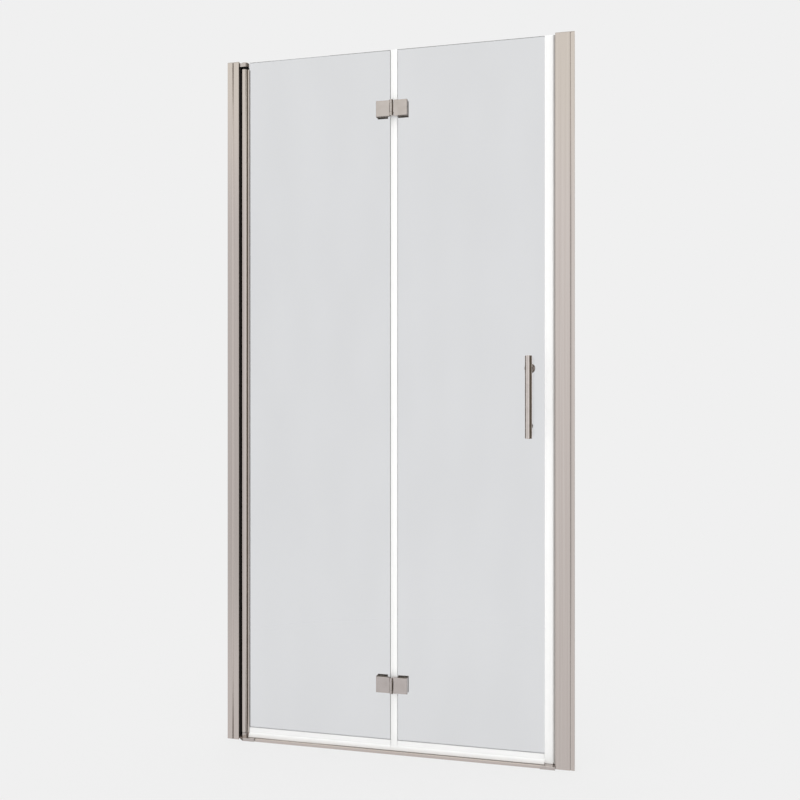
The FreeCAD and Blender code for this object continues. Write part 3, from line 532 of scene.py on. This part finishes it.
low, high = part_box("closing_seal")
pane_edge = pane_high.x
bulb_left = pane_edge + (high.y - pane_back)
section = [
    (low.x, low.y, LIP), (high.x, low.y, LIP), (high.x, high.y, LIP), (low.x, high.y, LIP),
    (low.x, pane_back, LIP), (pane_edge, pane_back, ROOT),
    (pane_edge, pane_front, ROOT), (low.x, pane_front, LIP),
]
room_half = high.y - BULB_WALL
room = [(bulb_left, -room_half, ROOT), (high.x - BULB_WALL, -room_half, ROOT),
        (high.x - BULB_WALL, room_half, ROOT), (bulb_left, room_half, ROOT)]
loops = [rounded(section), rounded(room)]
strip = push_section("soft_closing_seal", loops, "Z", low.z, high.z, white_pvc_upright)
stand_in(strip, "closing_seal", "folding_panel")

# %% [markdown]
# ## Grey gasket, magnet holder and black post seal
# A thin U of grey plastic beds the first pane in the post. On the closing jamb a grey profile
# with a room for the second magnet snaps into a groove. The black strip beside the post is
# hollowed to its radius, so that the post turns without a gap to see through.

# %% Gasket
low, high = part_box("post_glazing_gasket")
slot_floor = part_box("pivot_glass")[0].x
section = [
    (high.x, low.y, ROOT), (high.x, pane_front, ROOT),
    (slot_floor, pane_front, 0), (slot_floor, pane_back, 0),
    (high.x, pane_back, ROOT), (high.x, high.y, ROOT), (low.x, high.y, ROOT), (low.x, low.y, ROOT),
]
strip = push_section("soft_post_gasket", [rounded(section)], "Z", low.z, high.z, grey_pvc)
stand_in(strip, "post_glazing_gasket", "pivot_panel")

# %% Magnet holder
GROOVE_HALF = 4.0 * MM
low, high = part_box("strike_magnet_holder")
jamb_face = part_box("strike_jamb")[0].x
magnet_low, magnet_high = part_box("strike_magnet")
section = [
    (low.x, low.y, LIP), (jamb_face, low.y, ROOT),
    (jamb_face, -GROOVE_HALF, 0), (high.x, -GROOVE_HALF, ROOT),
    (high.x, GROOVE_HALF, ROOT), (jamb_face, GROOVE_HALF, 0),
    (jamb_face, high.y, ROOT), (low.x, high.y, LIP),
]
room = [(magnet_low.x, magnet_low.y, 0), (magnet_high.x, magnet_low.y, 0),
        (magnet_high.x, magnet_high.y, 0), (magnet_low.x, magnet_high.y, 0)]
loops = [rounded(section), rounded(room)]
strip = push_section("soft_magnet_holder", loops, "Z", low.z, high.z, grey_pvc)
stand_in(strip, "strike_magnet_holder", "frame")

# %% Post seal
TONGUE = 2.4 * MM
POST_GAP = 0.8 * MM
HOLLOW_STEPS = 20

low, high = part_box("hinge_jamb_seal")
joint_at = {joint["name"]: Vector(joint["pos_m"]) for joint in frame["record"]["behaviour"]["joints"]}
post_axis = joint_at["panel_pivot"]
jamb_face = low.x + TONGUE
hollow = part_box("pivot_post")[1].y + POST_GAP
mouth = math.acos((post_axis.x - high.x) / hollow)
turns = [mouth * (2 * step / HOLLOW_STEPS - 1) for step in range(HOLLOW_STEPS + 1)]
section = [(low.x, -GROOVE_HALF, ROOT), (jamb_face, -GROOVE_HALF, 0),
           (jamb_face, low.y, ROOT), (high.x, low.y, LIP)]
section += [(post_axis.x - hollow * math.cos(turn), hollow * math.sin(turn), 0) for turn in turns]
section += [(high.x, high.y, ROOT), (jamb_face, high.y, ROOT),
            (jamb_face, GROOVE_HALF, 0), (low.x, GROOVE_HALF, ROOT)]
strip = push_section("soft_post_seal", [rounded(section)], "Z", low.z, high.z, epdm)
stand_in(strip, "hinge_jamb_seal", "frame")

# %% [markdown]
# ## Studio
# A pale floor and pale air all round give the plain background. The camera and the glass see
# both at the same pale grey. Mirrors see only the air, a little brighter above, darker below and
# dimmer to the left, as in a room with a bright ceiling. Near the door part of the floor is lit
# like any surface, so it takes a soft shadow.

# %% Air
PALE = "#F0F0F0"
WARM_PALE = "#F0F0EA"
AIR_FILL = 0.91
MIRROR_LOW = 0.88
MIRROR_HIGH = 1.12
RISE_SPAN = 0.4
WARM_FROM, WARM_TO = 0.22, 0.36
DIM_LEFT = 0.78
DIM_MIDDLE = 0.5
DIM_CORE, DIM_EDGE = 0.05, 0.45
DIM_LEVEL, DIM_STEEP = 0.2, 0.32

air = bpy.data.worlds.new("studio_air")
scene.world = air
air.use_nodes = True
tree = air.node_tree
backdrop = tree.nodes["Background"]
path = add_node(tree, "ShaderNodeLightPath")
mirrored = add_node(tree, "ShaderNodeMath", {"operation": "SUBTRACT", "use_clamp": True},
                    {0: path.outputs["Is Glossy Ray"], 1: path.outputs["Is Transmission Ray"]})
clear_view = add_node(tree, "ShaderNodeMath", {"operation": "MAXIMUM"},
                      {0: path.outputs["Is Camera Ray"], 1: path.outputs["Is Transmission Ray"]})
looking = add_node(tree, "ShaderNodeSeparateXYZ", {},
                   {0: add_node(tree, "ShaderNodeTexCoord").outputs["Generated"]})
rise = add_node(tree, "ShaderNodeMapRange",
                {"From Min": -RISE_SPAN, "From Max": RISE_SPAN,
                 "To Min": MIRROR_LOW, "To Max": MIRROR_HIGH},
                {"Value": looking.outputs["Z"]})
high_up = add_node(tree, "ShaderNodeMapRange", {"From Min": WARM_FROM, "From Max": WARM_TO},
                   {"Value": looking.outputs["Z"]})
off_level = add_node(tree, "ShaderNodeMath", {"operation": "ABSOLUTE"}, {0: looking.outputs["Z"]})
near_level = add_node(tree, "ShaderNodeMapRange",
                      {"From Min": DIM_LEVEL, "From Max": DIM_STEEP, "To Min": 1.0, "To Max": 0.0},
                      {"Value": off_level.outputs[0]})
from_left = add_node(tree, "ShaderNodeMath", {"operation": "ADD", 1: DIM_MIDDLE},
                     {0: looking.outputs["X"]})
off_left = add_node(tree, "ShaderNodeMath", {"operation": "ABSOLUTE"}, {0: from_left.outputs[0]})
near_left = add_node(tree, "ShaderNodeMapRange",
                     {"From Min": DIM_CORE, "From Max": DIM_EDGE, "To Min": 1.0, "To Max": 0.0},
                     {"Value": off_left.outputs[0]})
dim_share = add_node(tree, "ShaderNodeMath", {"operation": "MULTIPLY"},
                     {0: near_left.outputs["Result"], 1: near_level.outputs["Result"]})
side = add_node(tree, "ShaderNodeMix", {"data_type": "FLOAT", MIX_LOW: 1.0, MIX_HIGH: DIM_LEFT},
                {0: dim_share.outputs[0]})
mirror_level = add_node(tree, "ShaderNodeMath", {"operation": "MULTIPLY"},
                        {0: rise.outputs["Result"], 1: side.outputs[0]})
plain_level = add_node(tree, "ShaderNodeMapRange", {"To Min": AIR_FILL, "To Max": 1.0},
                       {"Value": clear_view.outputs[0]})
level = add_node(tree, "ShaderNodeMix", {"data_type": "FLOAT"},
                 {0: mirrored.outputs[0], MIX_LOW: plain_level.outputs["Result"],
                  MIX_HIGH: mirror_level.outputs[0]})
warmth = add_node(tree, "ShaderNodeMath", {"operation": "MULTIPLY"},
                  {0: high_up.outputs["Result"], 1: mirrored.outputs[0]})
shade = add_node(tree, "ShaderNodeMix",
                 {"data_type": "RGBA", MIX_A: linear(PALE), MIX_B: linear(WARM_PALE)},
                 {"Factor": warmth.outputs[0]})
tree.links.new(shade.outputs[MIX_COLOUR], backdrop.inputs["Color"])
tree.links.new(level.outputs[0], backdrop.inputs["Strength"])
print("air is pale", PALE)

# %% Floor
FLOOR_HALF = 40.0
SHADOW_CORE = 0.3
SHADOW_REACH = 1.3
SHADOW_SHARE = 0.13

floor_finish, tree, shader = start_finish("pale_studio_floor", PALE, Roughness=0.9)
path = add_node(tree, "ShaderNodeLightPath")
place = add_node(tree, "ShaderNodeTexCoord")
distance = add_node(tree, "ShaderNodeVectorMath", {"operation": "LENGTH"}, {0: place.outputs["Object"]})
near_door = add_node(tree, "ShaderNodeMapRange",
                     {"interpolation_type": "SMOOTHSTEP", "From Min": SHADOW_CORE, "From Max": SHADOW_REACH,
                      "To Min": SHADOW_SHARE, "To Max": 0.0},
                     {"Value": distance.outputs["Value"]})
clear_view = add_node(tree, "ShaderNodeMath", {"operation": "MAXIMUM"},
                      {0: path.outputs["Is Camera Ray"], 1: path.outputs["Is Transmission Ray"]})
lit_share = add_node(tree, "ShaderNodeMix", {"data_type": "FLOAT", MIX_LOW: 1.0},
                     {0: clear_view.outputs[0], MIX_HIGH: near_door.outputs["Result"]})
glow = add_node(tree, "ShaderNodeEmission", {"Color": linear(PALE), "Strength": 1.0})
blend = add_node(tree, "ShaderNodeMixShader", {},
                 {0: lit_share.outputs[0], 1: glow.outputs[0], 2: shader.outputs[0]})
tree.links.new(blend.outputs[0], tree.nodes["Material Output"].inputs["Surface"])

floor_mesh = bpy.data.meshes.new("studio_floor")
floor_corners = [(x * FLOOR_HALF, y * FLOOR_HALF, 0) for x, y in ((-1, -1), (1, -1), (1, 1), (-1, 1))]
floor_mesh.from_pydata(floor_corners, [], [(0, 1, 2, 3)])
floor_mesh.materials.append(floor_finish)
floor = bpy.data.objects.new("studio_floor", floor_mesh)
floor.visible_glossy = False
scene.collection.objects.link(floor)
print("floor", 2 * FLOOR_HALF, "m across")

# %% [markdown]
# ## Light
# Large soft lamps light the door evenly from the front, the left, above and behind. Satin metal
# looks like metal only when it has something dark to mirror, so dark cards stand to the right
# of the door, to the left behind it and straight behind it. Only mirrors see the cards. A last
# card, in front on the right, is open at mid height, as a bright window between dark walls, so
# narrow bevels and the post go dark towards their ends.

# %% Lamps
door_middle = Vector((0, 0, (solid_box[0][2] + solid_box[1][2]) / 2))


def softbox(name, place, size, power):
    """Soft lamp that faces the middle of the door and shows in no mirror."""
    lamp = bpy.data.lights.new(name, "AREA")
    lamp.shape = "RECTANGLE"
    lamp.size, lamp.size_y = size
    lamp.energy = power
    holder = bpy.data.objects.new(name, lamp)
    holder.location = place
    holder.rotation_euler = (door_middle - holder.location).to_track_quat("-Z", "Y").to_euler()
    holder.visible_camera = False
    holder.visible_transmission = False
    holder.visible_glossy = False
    scene.collection.objects.link(holder)


softbox("front", place=Vector((0.9, -3.2, 0.7)), size=(2.2, 1.3), power=24)
softbox("left", place=Vector((-2.2, -3.0, 1.0)), size=(2.0, 1.8), power=4)
softbox("top", place=Vector((0.0, -0.8, 4.2)), size=(2.4, 2.4), power=28)
softbox("back", place=Vector((-1.6, 3.2, 1.6)), size=(2.0, 2.6), power=18)
print("four soft lamps")

# %% Dark cards
CARD = "#645C50"
CARD_LOW, CARD_HIGH = -2.1, 3.9
CARD_MIDDLE = (CARD_LOW + CARD_HIGH) / 2
CARD_SOLID_HALF = 1.9
WINDOW_HALF = 1.64
WINDOW_FADE = 0.22
RIGHT_X, LEFT_X = 0.95, -1.6
WINDOW_Y, BEHIND_Y = -1.18, 3.3


def card_finish(name, has_window):
    """Dark paper with soft ends that only mirrors see, with or without an opening at mid height."""
    material, tree, shader = start_finish(name, CARD, Roughness=0.95)
    path = add_node(tree, "ShaderNodeLightPath")
    cover = add_node(tree, "ShaderNodeMath", {"operation": "MINIMUM", 1: 1.0},
                     {0: path.outputs["Glossy Depth"]})
    place = add_node(tree, "ShaderNodeSeparateXYZ", {},
                     {0: add_node(tree, "ShaderNodeTexCoord").outputs["Object"]})
    from_middle = add_node(tree, "ShaderNodeMath", {"operation": "SUBTRACT", 1: CARD_MIDDLE},
                           {0: place.outputs["Z"]})
    off_middle = add_node(tree, "ShaderNodeMath", {"operation": "ABSOLUTE"}, {0: from_middle.outputs[0]})
    fades = [(CARD_HIGH - CARD_MIDDLE, CARD_SOLID_HALF)]
    if has_window:
        fades.append((WINDOW_HALF, WINDOW_HALF + WINDOW_FADE))
    for clear_at, dark_at in fades:
        fade = add_node(tree, "ShaderNodeMapRange",
                        {"interpolation_type": "SMOOTHSTEP", "From Min": clear_at, "From Max": dark_at},
                        {"Value": off_middle.outputs[0]})
        cover = add_node(tree, "ShaderNodeMath", {"operation": "MULTIPLY"},
                         {0: cover.outputs[0], 1: fade.outputs["Result"]})
    blend = add_node(tree, "ShaderNodeMixShader", {},
                     {0: cover.outputs[0], 1: add_node(tree, "ShaderNodeBsdfTransparent").outputs[0],
                      2: shader.outputs[0]})
    tree.links.new(blend.outputs[0], tree.nodes["Material Output"].inputs["Surface"])
    return material


def dark_card(name, start, end, finish):
    """Upright card between two places on the floor plan."""
    corners = [(*start, CARD_LOW), (*end, CARD_LOW), (*end, CARD_HIGH), (*start, CARD_HIGH)]
    mesh = bpy.data.meshes.new(name)
    mesh.from_pydata(corners, [], [(0, 1, 2, 3)])
    mesh.materials.append(finish)
    card = bpy.data.objects.new(name, mesh)
    card.visible_camera = False
    card.visible_diffuse = False
    card.visible_shadow = False
    scene.collection.objects.link(card)


plain_card = card_finish("dark_card", False)
open_card = card_finish("dark_card_with_window", True)
dark_card("dark_card_right", (RIGHT_X, WINDOW_Y), (RIGHT_X, 0.15), plain_card)
dark_card("dark_card_right_front", (RIGHT_X, -3.4), (RIGHT_X, WINDOW_Y), open_card)
dark_card("dark_card_left", (LEFT_X, -0.3), (LEFT_X, BEHIND_Y), plain_card)
dark_card("dark_card_behind", (-1.2, BEHIND_Y), (0.87, BEHIND_Y), plain_card)
print("four dark cards")

# %% [markdown]
# ## Camera
# The camera stands a little right of the door's middle at half its height and looks level, so
# uprights stay upright. Its turn and lens come from the lines of the door in the picture.

# %% Camera
lens = bpy.data.cameras.new("camera")
lens.lens = 37.66
lens.sensor_width = 36.0
lens.shift_y = -0.0041
camera = bpy.data.objects.new("camera", lens)
camera.location = (0.4839, -2.127, 0.925)
camera.rotation_euler = (math.radians(90), 0, math.radians(12.44))
scene.collection.objects.link(camera)
scene.camera = camera
scene.view_settings.view_transform = "Standard"
print("camera at", [round(value, 3) for value in camera.location])
